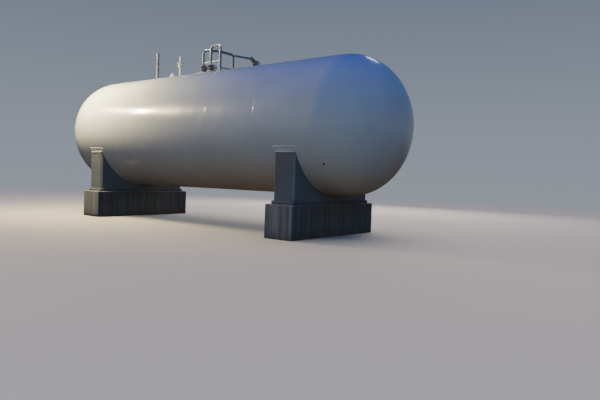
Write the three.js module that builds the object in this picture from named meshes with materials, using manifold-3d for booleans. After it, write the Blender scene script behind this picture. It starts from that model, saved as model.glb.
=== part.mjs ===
// Horizontal cylindrical gas storage tank on two saddles and two concrete piers.
// Millimetres, +Z up. +X runs along the tank's axis towards its near head.
// The origin lies on the ground below the middle of the tank.
import * as THREE from "three";
import { mergeVertices } from "three/addons/utils/BufferGeometryUtils.js";
import Module from "manifold-3d";

const wasm = await Module();
wasm.setup();

// Driving dimensions
const TANK_RADIUS = 1700;
const WALL = 16;
const STRAIGHT_LENGTH = 9200;
const HEAD_DEPTH = 1423;
const AXIS_HEIGHT = 2720;
const COURSE_WIDTH = 1700;
const GAP = 0.3;

const ROUND_SIDES = 72;
const HEAD_STEPS = 8;
const STEP_ANGLE = (2 * Math.PI) / ROUND_SIDES;

const SADDLE_CENTRE = 3835;
const SADDLE_THICKNESS = 610;
const SADDLE_HALF_WIDTH = 1590;
const SEAT_STEPS = 13;
const WEAR_PLATE_STEPS = 14;
const WEAR_PLATE_WIDTH = 714;
const WEAR_PLATE_THICKNESS = 14;
const CAP_LENGTH = 540;
const CAP_HEIGHT = 25;
const CAP_OUTER_EDGE = 1602;

const PIER_LENGTH = 820;
const PIER_WIDTH = 3500;
const PIER_HEIGHT = 800;
const BED_HEIGHT = 80;
const BED_LENGTH = 670;
const BED_WIDTH = 3240;

const PAD_THICKNESS = 12;
const SMALL_PAD_RADIUS = 150;
const FOOT_DEPTH = 60;
const SIDE_FOOT_DEPTH = 300;
const PIPE_SIDES = 16;
const SMALL_SIDES = 12;
const PIPE_RADIUS = 38;
const PIPE_BEND = 76;
const BRANCH_RADIUS = 30;
const SMALL_PIPE_RADIUS = 24;
const SMALL_PIPE_BEND = 55;
const VENT_RADIUS = 44.5;
const VENT_WALL = 5.5;
const BEND_STEPS = 5;
const FLANGE_RADIUS = 92;
const FLANGE_THICKNESS = 18;
const NECK_RADIUS = 44.5;
const NECK_HEIGHT = 78;

const VENT_X = -2934;
const VENT_HEIGHT = 875;
const HATCH_X = -2140;
const HATCH_HEIGHT = 161;
const HATCH_NECK_RADIUS = 84;
const HATCH_NECK_TOP = 48;
const HATCH_CAP_RADIUS = 112;
const HATCH_DOME_RADIUS = 96;
const HATCH_SIDES = 24;
const HATCH_DOME_STEPS = 6;
const RELIEF_X = -1800;
const RELIEF_RADIUS = 38;
const RELIEF_VALVE_BOTTOM = 340;
const RELIEF_VALVE_TOP = 430;
const RELIEF_HEIGHT = 640;
const RELIEF_WAIST = 62;
const RELIEF_BELLY = 74;
const RELIEF_BONNET_RADIUS = 24;
const RELIEF_BONNET_LENGTH = 130;

const RISER_A_X = -748;
const RISER_B_X = -425;
const LOOP_FOOT_X = -25;
const PIPE_FOOT_RADIUS = 58;
const PIPE_FOOT_TOP = 40;
const LOOP_TOP = 800;
const LOOP_BEND = 115;
const CROWN_PAD_X = -370;
const CROWN_PAD_RADIUS = 520;

const BYPASS_Y = 120;
const BYPASS_LEFT_X = -832;
const BYPASS_RIGHT_X = -218;
const BYPASS_TOP = 371;
const BYPASS_FOOT_RADIUS = 38;

const VALVE_HEIGHT = 152;
const VALVE_WAIST = 50;
const VALVE_BELLY = 66;
const BONNET_RADIUS = 48;
const BONNET_SHOULDER = 98;
const BONNET_NECK = 30;
const BONNET_NECK_START = 108;
const BONNET_LENGTH = 150;
const STEM_RADIUS = 14;
const STEM_LENGTH = 46;
const WHEEL_RADIUS = 64;
const WHEEL_RIM = 9;
const WHEEL_RIM_SIDES = 6;
const WHEEL_STEPS = 20;
const WHEEL_HUB_RADIUS = 22;
const WHEEL_HUB_WIDTH = 24;
const SPOKE_WIDTH = 14;
const SPOKE_THICKNESS = 10;
const WHEEL_OFFSET = BONNET_LENGTH + 30;

const HEADER_HEIGHT = 715;
const HEADER_CORNER = new THREE.Vector2(-400, 348);
const HEADER_FOOT = new THREE.Vector2(-405, 900);
const BRANCH_HEIGHT = 703;
const BRANCH_FLANGE_RADIUS = 75;
const BRANCH_FLANGE_SETBACK = 110;
const BRANCH_END = new THREE.Vector2(-205, 1640);
const BRANCH_DROP = 62;
const BLIND_THICKNESS = 20;
const HEADER_PAD_RADIUS = 110;

const BALANCE_RADIUS = 18;
const BALANCE_HEIGHT = 200;
const BALANCE_CORNER_Y = 440;
const BALANCE_NECK = new THREE.Vector2(-110, 610);
const BALANCE_NECK_RADIUS = 40;
const BALANCE_NECK_TOP = -60;

// Finishes
const tankPaint = new THREE.MeshStandardMaterial({ color: 0xd9d5c8, roughness: 0.35, metalness: 0.0 });
const pipePaint = new THREE.MeshStandardMaterial({ color: 0x8e9091, roughness: 0.35, metalness: 0.4 });
const valvePaint = new THREE.MeshStandardMaterial({ color: 0x4a4640, roughness: 0.5, metalness: 0.3 });
const saddleCoat = new THREE.MeshStandardMaterial({ color: 0x3f494c, roughness: 0.75, metalness: 0.0 });
const mortar = new THREE.MeshStandardMaterial({ color: 0x77756d, roughness: 0.9, metalness: 0.0 });
const concrete = new THREE.MeshStandardMaterial({ color: 0x655a4d, roughness: 0.95, metalness: 0.0 });

// Solids and geometries

function toSolid(geometry) {
  const bare = geometry.clone();
  bare.deleteAttribute("normal");
  bare.deleteAttribute("uv");
  const merged = mergeVertices(bare, 1e-3);
  const vertProperties = new Float32Array(merged.attributes.position.array);
  const triVerts = new Uint32Array(merged.index.array);
  return new wasm.Manifold(new wasm.Mesh({ numProp: 3, vertProperties, triVerts }));
}

function toGeometry(solid) {
  const mesh = solid.getMesh();
  const geometry = new THREE.BufferGeometry();
  geometry.setAttribute("position", new THREE.BufferAttribute(new Float32Array(mesh.vertProperties), 3));
  geometry.setIndex(new THREE.BufferAttribute(new Uint32Array(mesh.triVerts), 1));
  return geometry;
}

function join(geometries) {
  const [first, ...others] = geometries.map(toSolid);
  return toGeometry(others.reduce((whole, piece) => whole.add(piece), first));
}

// A solid turned about the vertical axis from [radius, height] pairs
function turned(pairs, sides = PIPE_SIDES) {
  const profile = pairs.map(([radius, height]) => new THREE.Vector2(radius, height));
  return new THREE.LatheGeometry(profile, sides).rotateX(Math.PI / 2);
}

// A solid turned about the tank's axis from [radius, distance along X] pairs
function turnedAlongX(pairs, sides = ROUND_SIDES) {
  const profile = pairs.map(([radius, along]) => new THREE.Vector2(radius, along));
  return new THREE.LatheGeometry(profile, sides).rotateZ(-Math.PI / 2);
}

// A ring profile is closed by repeating its first point
function ring(inner, outer, low, high) {
  return [[inner, low], [outer, low], [outer, high], [inner, high], [inner, low]];
}

function rod(radius, low, high) {
  return [[0, low], [radius, low], [radius, high], [0, high]];
}

// A quarter of an ellipse from its rim to its pole
function dome(radius, rise, steps) {
  const pairs = [];
  for (let i = 0; i < steps; i += 1) {
    const angle = (Math.PI / 2) * (i / steps);
    pairs.push([radius * Math.cos(angle), rise * Math.sin(angle)]);
  }
  pairs.push([0, rise]);
  return pairs;
}

// An outline in the YZ plane, extruded along X and centred on x = 0
function slab(points, length) {
  const outline = new THREE.Shape(points.map(([y, z]) => new THREE.Vector2(y, z)));
  const geometry = new THREE.ExtrudeGeometry(outline, { depth: length, bevelEnabled: false });
  const turn = new THREE.Matrix4().makeBasis(
    new THREE.Vector3(0, 1, 0),
    new THREE.Vector3(0, 0, 1),
    new THREE.Vector3(1, 0, 0),
  );
  return geometry.applyMatrix4(turn).translate(-length / 2, 0, 0);
}

// Points of an arc below the tank's axis, from -steps to +steps of STEP_ANGLE
function lowerArc(radius, steps) {
  const points = [];
  for (let i = -steps; i <= steps; i += 1) {
    const angle = i * STEP_ANGLE;
    points.push([radius * Math.sin(angle), -radius * Math.cos(angle)]);
  }
  return points;
}

// A pipe's centre line: straight runs joined by round bends at the corners
class PipeRoute extends THREE.Curve {
  constructor(corners, bendRadius) {
    super();
    this.stations = [];
    const last = corners.length - 1;
    for (let i = 0; i <= last; i += 1) {
      if (i === 0 || i === last) {
        this.stations.push(corners[i].clone());
      } else {
        this.addBend(corners[i - 1], corners[i], corners[i + 1], bendRadius);
      }
    }
  }

  addBend(before, corner, after, bendRadius) {
    const arriving = corner.clone().sub(before).normalize();
    const leaving = after.clone().sub(corner).normalize();
    const turn = arriving.angleTo(leaving);
    const setback = bendRadius * Math.tan(turn / 2);
    const start = corner.clone().addScaledVector(arriving, -setback);
    const inward = leaving.clone().addScaledVector(arriving, -leaving.dot(arriving)).normalize();
    const centre = start.clone().addScaledVector(inward, bendRadius);
    for (let k = 0; k <= BEND_STEPS; k += 1) {
      const angle = (turn * k) / BEND_STEPS;
      const point = centre.clone().addScaledVector(inward, -bendRadius * Math.cos(angle));
      this.stations.push(point.addScaledVector(arriving, bendRadius * Math.sin(angle)));
    }
  }

  get steps() {
    return this.stations.length - 1;
  }

  getPointAt(share) {
    return this.stations[Math.round(share * this.steps)].clone();
  }

  getTangentAt(share) {
    const i = Math.round(share * this.steps);
    const tangent = new THREE.Vector3();
    if (i > 0) {
      tangent.add(this.stations[i].clone().sub(this.stations[i - 1]).normalize());
    }
    if (i < this.steps) {
      tangent.add(this.stations[i + 1].clone().sub(this.stations[i]).normalize());
    }
    return tangent.normalize();
  }
}

function bentPipe(corners, radius, bendRadius, sides = PIPE_SIDES) {
  const route = new PipeRoute(corners, bendRadius);
  const section = new THREE.Shape();
  for (let i = 0; i < sides; i += 1) {
    const angle = (2 * Math.PI * i) / sides;
    const x = radius * Math.cos(angle);
    const y = radius * Math.sin(angle);
    if (i === 0) {
      section.moveTo(x, y);
    } else {
      section.lineTo(x, y);
    }
  }
  section.closePath();
  return new THREE.ExtrudeGeometry(section, { steps: route.steps, extrudePath: route, bevelEnabled: false });
}

// Everything below is placed from the tank's axis, in one group at the axis height
const part = new THREE.Group();
const tank = new THREE.Group();
tank.position.z = AXIS_HEIGHT;
part.add(tank);

function place(group, name, geometry, material, x = 0, y = 0, z = 0) {
  const mesh = new THREE.Mesh(geometry, material);
  mesh.name = name;
  mesh.position.set(x, y, z);
  group.add(mesh);
}

// Shell courses: rolled plates, five full widths from the near end and one closing width
function addShell() {
  const nearEnd = STRAIGHT_LENGTH / 2;
  const farEnd = -nearEnd;
  const courses = Math.ceil(STRAIGHT_LENGTH / COURSE_WIDTH);
  for (let i = 0; i < courses; i += 1) {
    const high = nearEnd - i * COURSE_WIDTH;
    const low = Math.max(high - COURSE_WIDTH, farEnd);
    const plate = turnedAlongX(ring(TANK_RADIUS - WALL, TANK_RADIUS, low, high));
    place(tank, `shell_course_${i + 1}`, plate, tankPaint);
  }
}

// Dished heads: half ellipsoids of the wall's thickness, open at the shell
function addHeads() {
  const outer = dome(TANK_RADIUS, HEAD_DEPTH, HEAD_STEPS);
  const inner = dome(TANK_RADIUS - WALL, HEAD_DEPTH - WALL, HEAD_STEPS);
  const bowl = turnedAlongX([...inner.reverse(), ...outer]);
  place(tank, "head_near", bowl, tankPaint, STRAIGHT_LENGTH / 2);
  place(tank, "head_far", bowl.clone().rotateZ(Math.PI), tankPaint, -STRAIGHT_LENGTH / 2);
}

// Under each end: wear plate, saddle block, its two edge caps, mortar bed and pier
function addSupport(end, x) {
  const seatRadius = TANK_RADIUS + GAP;
  const plateOuter = seatRadius + WEAR_PLATE_THICKNESS;
  const inside = lowerArc(seatRadius, WEAR_PLATE_STEPS);
  const outside = lowerArc(plateOuter, WEAR_PLATE_STEPS);
  const wearPlate = slab([...inside, ...outside.reverse()], WEAR_PLATE_WIDTH);
  place(tank, `wear_plate_${end}`, wearPlate, tankPaint, x);

  const seat = lowerArc(plateOuter + GAP, SEAT_STEPS);
  const hornHeight = seat[0][1];
  const saddleBottom = PIER_HEIGHT + BED_HEIGHT - AXIS_HEIGHT;
  const block = slab([
    [-SADDLE_HALF_WIDTH, saddleBottom],
    [SADDLE_HALF_WIDTH, saddleBottom],
    [SADDLE_HALF_WIDTH, hornHeight],
    ...seat.reverse(),
    [-SADDLE_HALF_WIDTH, hornHeight],
  ], SADDLE_THICKNESS);
  place(tank, `saddle_${end}`, block, saddleCoat, x);

  const capTop = hornHeight + CAP_HEIGHT;
  const capInnerEdge = Math.sqrt((plateOuter + GAP) ** 2 - capTop ** 2);
  const capWidth = CAP_OUTER_EDGE - capInnerEdge;
  const capCentre = (CAP_OUTER_EDGE + capInnerEdge) / 2;
  const capMiddle = hornHeight + CAP_HEIGHT / 2;
  for (const [side, sign] of [["front", -1], ["back", 1]]) {
    const cap = new THREE.BoxGeometry(CAP_LENGTH, capWidth, CAP_HEIGHT);
    place(tank, `saddle_cap_${end}_${side}`, cap, tankPaint, x, sign * capCentre, capMiddle);
  }

  const bed = new THREE.BoxGeometry(BED_LENGTH, BED_WIDTH, BED_HEIGHT);
  place(part, `mortar_bed_${end}`, bed, mortar, x, 0, PIER_HEIGHT + BED_HEIGHT / 2);
  const pier = new THREE.BoxGeometry(PIER_LENGTH, PIER_WIDTH, PIER_HEIGHT);
  place(part, `pier_${end}`, pier, concrete, x, 0, PIER_HEIGHT / 2);
}

// Fittings on the crown. Their own heights are measured up from the crown.

const plateTop = TANK_RADIUS + GAP;
const padTop = plateTop + PAD_THICKNESS;
const halfStraight = STRAIGHT_LENGTH / 2;
const plateCutter = toSolid(turnedAlongX(rod(plateTop, -halfStraight, halfStraight)));
const padCutter = toSolid(turnedAlongX(rod(padTop + GAP, -halfStraight, halfStraight)));

const point = (x, y, height) => new THREE.Vector3(x, y, TANK_RADIUS + height);

// A round plate rolled to the shell's curve
function curvedPad(x, y, radius) {
  const band = toSolid(turnedAlongX(ring(plateTop, padTop, x - radius - 1, x + radius + 1)));
  const plug = toSolid(turned(rod(radius, 0, padTop + PAD_THICKNESS), 2 * PIPE_SIDES).translate(x, y, 0));
  return toGeometry(band.intersect(plug));
}

// A turned piece whose foot is cut to the curve of the pad, or of the shell plate, under it
function standing(pairs, x, y = 0, cutter = padCutter, sides = PIPE_SIDES) {
  const piece = turned(pairs, sides).translate(x, y, TANK_RADIUS);
  return toGeometry(toSolid(piece).subtract(cutter));
}

// A pipe that stands on a pad and ends in a flange
function flangedPipe(x, radius, height) {
  return standing([
    [0, -FOOT_DEPTH],
    [radius, -FOOT_DEPTH],
    [radius, height - FLANGE_THICKNESS],
    [FLANGE_RADIUS, height - FLANGE_THICKNESS],
    [FLANGE_RADIUS, height],
    [0, height],
  ], x);
}

// A valve body between two flanges
function flangedBody(height, waist, belly) {
  return turned([
    [0, 0],
    [FLANGE_RADIUS, 0],
    [FLANGE_RADIUS, FLANGE_THICKNESS],
    [waist, FLANGE_THICKNESS],
    [belly, height / 2],
    [waist, height - FLANGE_THICKNESS],
    [FLANGE_RADIUS, height - FLANGE_THICKNESS],
    [FLANGE_RADIUS, height],
    [0, height],
  ]);
}

// Plain vent: a rolled pad and an open pipe
function addVent() {
  place(tank, "vent_pad", curvedPad(VENT_X, 0, SMALL_PAD_RADIUS), tankPaint);
  const pipe = standing(ring(VENT_RADIUS - VENT_WALL, VENT_RADIUS, -FOOT_DEPTH, VENT_HEIGHT), VENT_X);
  place(tank, "vent_pipe", pipe, pipePaint);
}

// Small domed hatch
function addHatch() {
  const tube = rod(HATCH_NECK_RADIUS, -FOOT_DEPTH, HATCH_NECK_TOP);
  place(tank, "hatch_neck", standing(tube, HATCH_X, 0, plateCutter, HATCH_SIDES), tankPaint);
  const domeBase = HATCH_NECK_TOP + FLANGE_THICKNESS;
  const curve = dome(HATCH_DOME_RADIUS, HATCH_HEIGHT - domeBase, HATCH_DOME_STEPS);
  const cap = turned([
    [0, HATCH_NECK_TOP],
    [HATCH_CAP_RADIUS, HATCH_NECK_TOP],
    [HATCH_CAP_RADIUS, domeBase],
    ...curve.map(([radius, rise]) => [radius, domeBase + rise]),
  ], HATCH_SIDES);
  place(tank, "hatch_cap", cap, tankPaint, HATCH_X, 0, TANK_RADIUS);
}

// Relief valve: flanged inlet pipe, body with a side bonnet, open stack
function addRelief() {
  const height = RELIEF_VALVE_TOP - RELIEF_VALVE_BOTTOM;
  place(tank, "relief_pad", curvedPad(RELIEF_X, 0, SMALL_PAD_RADIUS), tankPaint);
  place(tank, "relief_inlet", flangedPipe(RELIEF_X, RELIEF_RADIUS, RELIEF_VALVE_BOTTOM), tankPaint);

  const body = flangedBody(height, RELIEF_WAIST, RELIEF_BELLY);
  const bonnet = turned(rod(RELIEF_BONNET_RADIUS, 0, RELIEF_BONNET_LENGTH), SMALL_SIDES);
  bonnet.rotateY(Math.PI / 2).translate(0, 0, height / 2);
  const base = TANK_RADIUS + RELIEF_VALVE_BOTTOM;
  place(tank, "relief_valve", join([body, bonnet]), tankPaint, RELIEF_X, 0, base);

  const stack = turned(ring(RELIEF_RADIUS - VENT_WALL, RELIEF_RADIUS, RELIEF_VALVE_TOP, RELIEF_HEIGHT));
  place(tank, "relief_stack", stack, tankPaint, RELIEF_X, 0, TANK_RADIUS);
}

// A flanged gate valve on a vertical pipe, with its handwheel turned towards +X
function gateValve() {
  const middle = VALVE_HEIGHT / 2;
  const body = flangedBody(VALVE_HEIGHT, VALVE_WAIST, VALVE_BELLY);
  const bonnet = turned([
    [0, 0],
    [BONNET_RADIUS, 0],
    [BONNET_RADIUS, BONNET_SHOULDER],
    [BONNET_NECK, BONNET_NECK_START],
    [STEM_RADIUS, BONNET_LENGTH],
    [STEM_RADIUS, BONNET_LENGTH + STEM_LENGTH],
    [0, BONNET_LENGTH + STEM_LENGTH],
  ], SMALL_SIDES).rotateX(Math.PI / 2).translate(0, 0, middle);
  return join([body, bonnet, handwheel().translate(0, -WHEEL_OFFSET, middle)]).rotateZ(Math.PI / 2);
}

// Rim, hub and two crossed spokes, in the XZ plane
function handwheel() {
  const rim = new THREE.TorusGeometry(WHEEL_RADIUS, WHEEL_RIM, WHEEL_RIM_SIDES, WHEEL_STEPS);
  const hub = turned(rod(WHEEL_HUB_RADIUS, -WHEEL_HUB_WIDTH / 2, WHEEL_HUB_WIDTH / 2), SMALL_SIDES);
  const spokes = [Math.PI / 4, (3 * Math.PI) / 4].map((angle) => (
    new THREE.BoxGeometry(2 * WHEEL_RADIUS, SPOKE_THICKNESS, SPOKE_WIDTH).rotateY(angle)
  ));
  return join([rim.rotateX(Math.PI / 2), hub.rotateX(Math.PI / 2), ...spokes]);
}

// Two valved risers on one crown pad: the first feeds the header, the second loops over to a foot.
// A lower bypass loop stands behind them on two feet of its own.
function addRisers() {
  place(tank, "crown_pad", curvedPad(CROWN_PAD_X, 0, CROWN_PAD_RADIUS), tankPaint);
  for (const [letter, x] of [["a", RISER_A_X], ["b", RISER_B_X]]) {
    place(tank, `riser_${letter}_neck`, flangedPipe(x, NECK_RADIUS, NECK_HEIGHT), tankPaint);
    place(tank, `riser_${letter}_valve`, gateValve(), valvePaint, x, 0, TANK_RADIUS + NECK_HEIGHT);
  }

  const loop = bentPipe([
    point(RISER_B_X, 0, NECK_HEIGHT + VALVE_HEIGHT),
    point(RISER_B_X, 0, LOOP_TOP),
    point(LOOP_FOOT_X, 0, LOOP_TOP),
    point(LOOP_FOOT_X, 0, PIPE_FOOT_TOP),
  ], PIPE_RADIUS, LOOP_BEND);
  place(tank, "riser_b_loop", loop, pipePaint);
  const foot = standing(rod(PIPE_FOOT_RADIUS, -FOOT_DEPTH, PIPE_FOOT_TOP), LOOP_FOOT_X);
  place(tank, "loop_foot", foot, tankPaint);

  const pipeEnd = PIPE_FOOT_TOP / 2;
  const bypass = bentPipe([
    point(BYPASS_LEFT_X, BYPASS_Y, pipeEnd),
    point(BYPASS_LEFT_X, BYPASS_Y, BYPASS_TOP),
    point(BYPASS_RIGHT_X, BYPASS_Y, BYPASS_TOP),
    point(BYPASS_RIGHT_X, BYPASS_Y, pipeEnd),
  ], SMALL_PIPE_RADIUS, SMALL_PIPE_BEND, SMALL_SIDES);
  const feet = [BYPASS_LEFT_X, BYPASS_RIGHT_X].map((x) => (
    standing(rod(BYPASS_FOOT_RADIUS, -FOOT_DEPTH, PIPE_FOOT_TOP), x, BYPASS_Y)
  ));
  place(tank, "bypass_loop", join([bypass, ...feet]), tankPaint);
}

// Vapour header: from the first riser behind the loop to a leg that stands on the shell
function addHeader() {
  const top = point(RISER_A_X, 0, HEADER_HEIGHT);
  const corner = point(HEADER_CORNER.x, HEADER_CORNER.y, HEADER_HEIGHT);
  const legTop = point(HEADER_FOOT.x, HEADER_FOOT.y, HEADER_HEIGHT);
  const legFoot = point(HEADER_FOOT.x, HEADER_FOOT.y, -SIDE_FOOT_DEPTH);
  const joint = top.clone().add(corner).divideScalar(2);
  const jointEnd = joint.clone().addScaledVector(corner.clone().sub(top).normalize(), GAP);

  const riser = [point(RISER_A_X, 0, NECK_HEIGHT + VALVE_HEIGHT), top, joint];
  place(tank, "riser_a_pipe", bentPipe(riser, PIPE_RADIUS, PIPE_BEND), pipePaint);
  const route = [jointEnd, corner, legTop, legFoot];
  const header = toSolid(bentPipe(route, PIPE_RADIUS, PIPE_BEND));
  place(tank, "header_pipe", toGeometry(header.subtract(padCutter)), pipePaint);
  place(tank, "header_pad", curvedPad(HEADER_FOOT.x, HEADER_FOOT.y, HEADER_PAD_RADIUS), tankPaint);

  addBranch(toSolid(bentPipe(route, PIPE_RADIUS + GAP, PIPE_BEND)));
}

// Branch from the header's last bend to a closed valve
function addBranch(headerCutter) {
  const start = point(HEADER_FOOT.x, HEADER_FOOT.y, BRANCH_HEIGHT);
  const end = point(BRANCH_END.x, BRANCH_END.y, BRANCH_HEIGHT);
  const dropEnd = BRANCH_HEIGHT - BRANCH_DROP;
  const pipe = toSolid(bentPipe([
    start,
    end,
    point(BRANCH_END.x, BRANCH_END.y, dropEnd),
  ], BRANCH_RADIUS, SMALL_PIPE_BEND));

  const heading = end.clone().sub(start).normalize();
  const centre = end.clone().addScaledVector(heading, -BRANCH_FLANGE_SETBACK);
  const turn = new THREE.Quaternion().setFromUnitVectors(new THREE.Vector3(0, 0, 1), heading);
  const flange = turned(rod(BRANCH_FLANGE_RADIUS, -FLANGE_THICKNESS, FLANGE_THICKNESS));
  flange.applyQuaternion(turn).translate(centre.x, centre.y, centre.z);
  const branch = pipe.add(toSolid(flange)).subtract(headerCutter);
  place(tank, "header_branch", toGeometry(branch), pipePaint);

  const valveBase = TANK_RADIUS + dropEnd - VALVE_HEIGHT;
  place(tank, "header_valve", gateValve(), valvePaint, BRANCH_END.x, BRANCH_END.y, valveBase);
  const blind = turned(rod(FLANGE_RADIUS, -BLIND_THICKNESS, 0));
  place(tank, "header_blind_flange", blind, pipePaint, BRANCH_END.x, BRANCH_END.y, valveBase);
}

// Low balance line from the bypass loop to a neck behind the crown
function addBalanceLine() {
  const { x, y } = BALANCE_NECK;
  const neck = standing(rod(BALANCE_NECK_RADIUS, -SIDE_FOOT_DEPTH, BALANCE_NECK_TOP), x, y, plateCutter);
  place(tank, "balance_neck", neck, tankPaint);
  const line = bentPipe([
    point(BYPASS_RIGHT_X, BYPASS_Y + SMALL_PIPE_RADIUS + GAP, BALANCE_HEIGHT),
    point(BYPASS_RIGHT_X, BALANCE_CORNER_Y, BALANCE_HEIGHT),
    point(x, y, BALANCE_HEIGHT),
    point(x, y, BALANCE_NECK_TOP),
  ], BALANCE_RADIUS, SMALL_PIPE_BEND, SMALL_SIDES);
  place(tank, "balance_line", line, pipePaint);
}

addShell();
addHeads();
addSupport("near", SADDLE_CENTRE);
addSupport("far", -SADDLE_CENTRE);
addVent();
addHatch();
addRelief();
addRisers();
addHeader();
addBalanceLine();

export default part;
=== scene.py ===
"""Horizontal gas storage tank on two saddles: its finished surfaces, lights and camera.

Lengths are in metres. +X runs along the tank's axis towards its near head, and +Z is up.
"""

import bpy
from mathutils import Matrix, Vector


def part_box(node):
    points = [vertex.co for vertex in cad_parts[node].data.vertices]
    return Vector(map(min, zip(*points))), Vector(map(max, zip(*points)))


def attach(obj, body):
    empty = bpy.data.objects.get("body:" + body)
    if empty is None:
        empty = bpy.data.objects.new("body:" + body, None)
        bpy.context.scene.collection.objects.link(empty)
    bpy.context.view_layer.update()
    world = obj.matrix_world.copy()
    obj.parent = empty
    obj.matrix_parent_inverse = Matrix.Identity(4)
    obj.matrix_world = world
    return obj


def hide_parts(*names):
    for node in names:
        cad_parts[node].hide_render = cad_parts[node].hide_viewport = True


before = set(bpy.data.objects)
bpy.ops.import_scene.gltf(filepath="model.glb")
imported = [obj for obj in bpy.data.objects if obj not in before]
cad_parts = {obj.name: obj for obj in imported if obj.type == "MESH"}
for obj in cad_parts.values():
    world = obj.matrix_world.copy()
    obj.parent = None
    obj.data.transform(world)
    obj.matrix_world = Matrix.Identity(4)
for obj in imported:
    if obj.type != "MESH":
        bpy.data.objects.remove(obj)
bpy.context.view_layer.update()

import math
import random

import bmesh
import bpy
from bpy.props import FloatProperty, FloatVectorProperty, IntProperty, PointerProperty
from mathutils import Matrix, Vector

bl_info = {
    "name": "Horizontal Gas Tank",
    "version": (1, 0, 0),
    "blender": (4, 5, 0),
    "location": "View3D > Sidebar > Gas Tank",
    "description": "Builds a horizontal gas storage tank with its supports and crown piping",
    "category": "Object",
}

# Sizes read from the frame
COURSES = 6
SHELL_LOW, SHELL_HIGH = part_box("shell_course_1")
TANK_RADIUS = (SHELL_HIGH.z - SHELL_LOW.z) / 2
AXIS_HEIGHT = (SHELL_HIGH.z + SHELL_LOW.z) / 2
HEAD_START = SHELL_HIGH.x
HEAD_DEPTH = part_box("head_near")[1].x - HEAD_START
CROWN = AXIS_HEIGHT + TANK_RADIUS
SEAMS = [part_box(f"shell_course_{i}")[1].x for i in range(1, COURSES + 1)] + [-HEAD_START]

# Sizes shared by several pieces
PAD_THICKNESS = 0.012
PAD_RADIUS = TANK_RADIUS + PAD_THICKNESS
SEAM_REACH = 0.045  # how far beside a seam the plates pull in
BITE = 0.002  # how far one piece sinks into the next
PIPE_WALL = 0.0055
MOUTH_EDGE = 0.0012
VALVE_HEIGHT = 0.152  # of a gate valve, between the outer faces of its flanges

# Points around a turned shape
AROUND = 240
NUT_SIDES, PIPE_SIDES, FITTING_SIDES, FLANGE_SIDES, HATCH_SIDES = 6, 28, 40, 48, 64


# Mesh shapes

def turns(count):
    """Evenly spaced angles round a circle."""
    return [2 * math.pi * i / count for i in range(count)]


def spaced(start, end, count):
    """Even steps from a start to an end, both of them included."""
    return [start + (end - start) * k / count for k in range(count + 1)]


def surface_height(y, radius):
    """Height above the ground of the top of a cylinder about the tank's axis."""
    return AXIS_HEIGHT + math.sqrt(radius ** 2 - y ** 2)


def stand(centre, axis=(0, 0, 1)):
    """A place whose local Z points along the axis."""
    return Matrix.Translation(centre) @ Vector(axis).to_track_quat("Z", "Y").to_matrix().to_4x4()


class Spot:
    """Where a round node stands: its middle, lowest and highest levels, radius and upright place."""

    def __init__(self, node):
        low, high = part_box(node)
        middle = (low + high) / 2
        self.x, self.y = middle.x, middle.y
        self.base, self.top = low.z, high.z
        self.radius = (high.x - low.x) / 2
        self.place = stand((self.x, self.y, 0))


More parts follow.
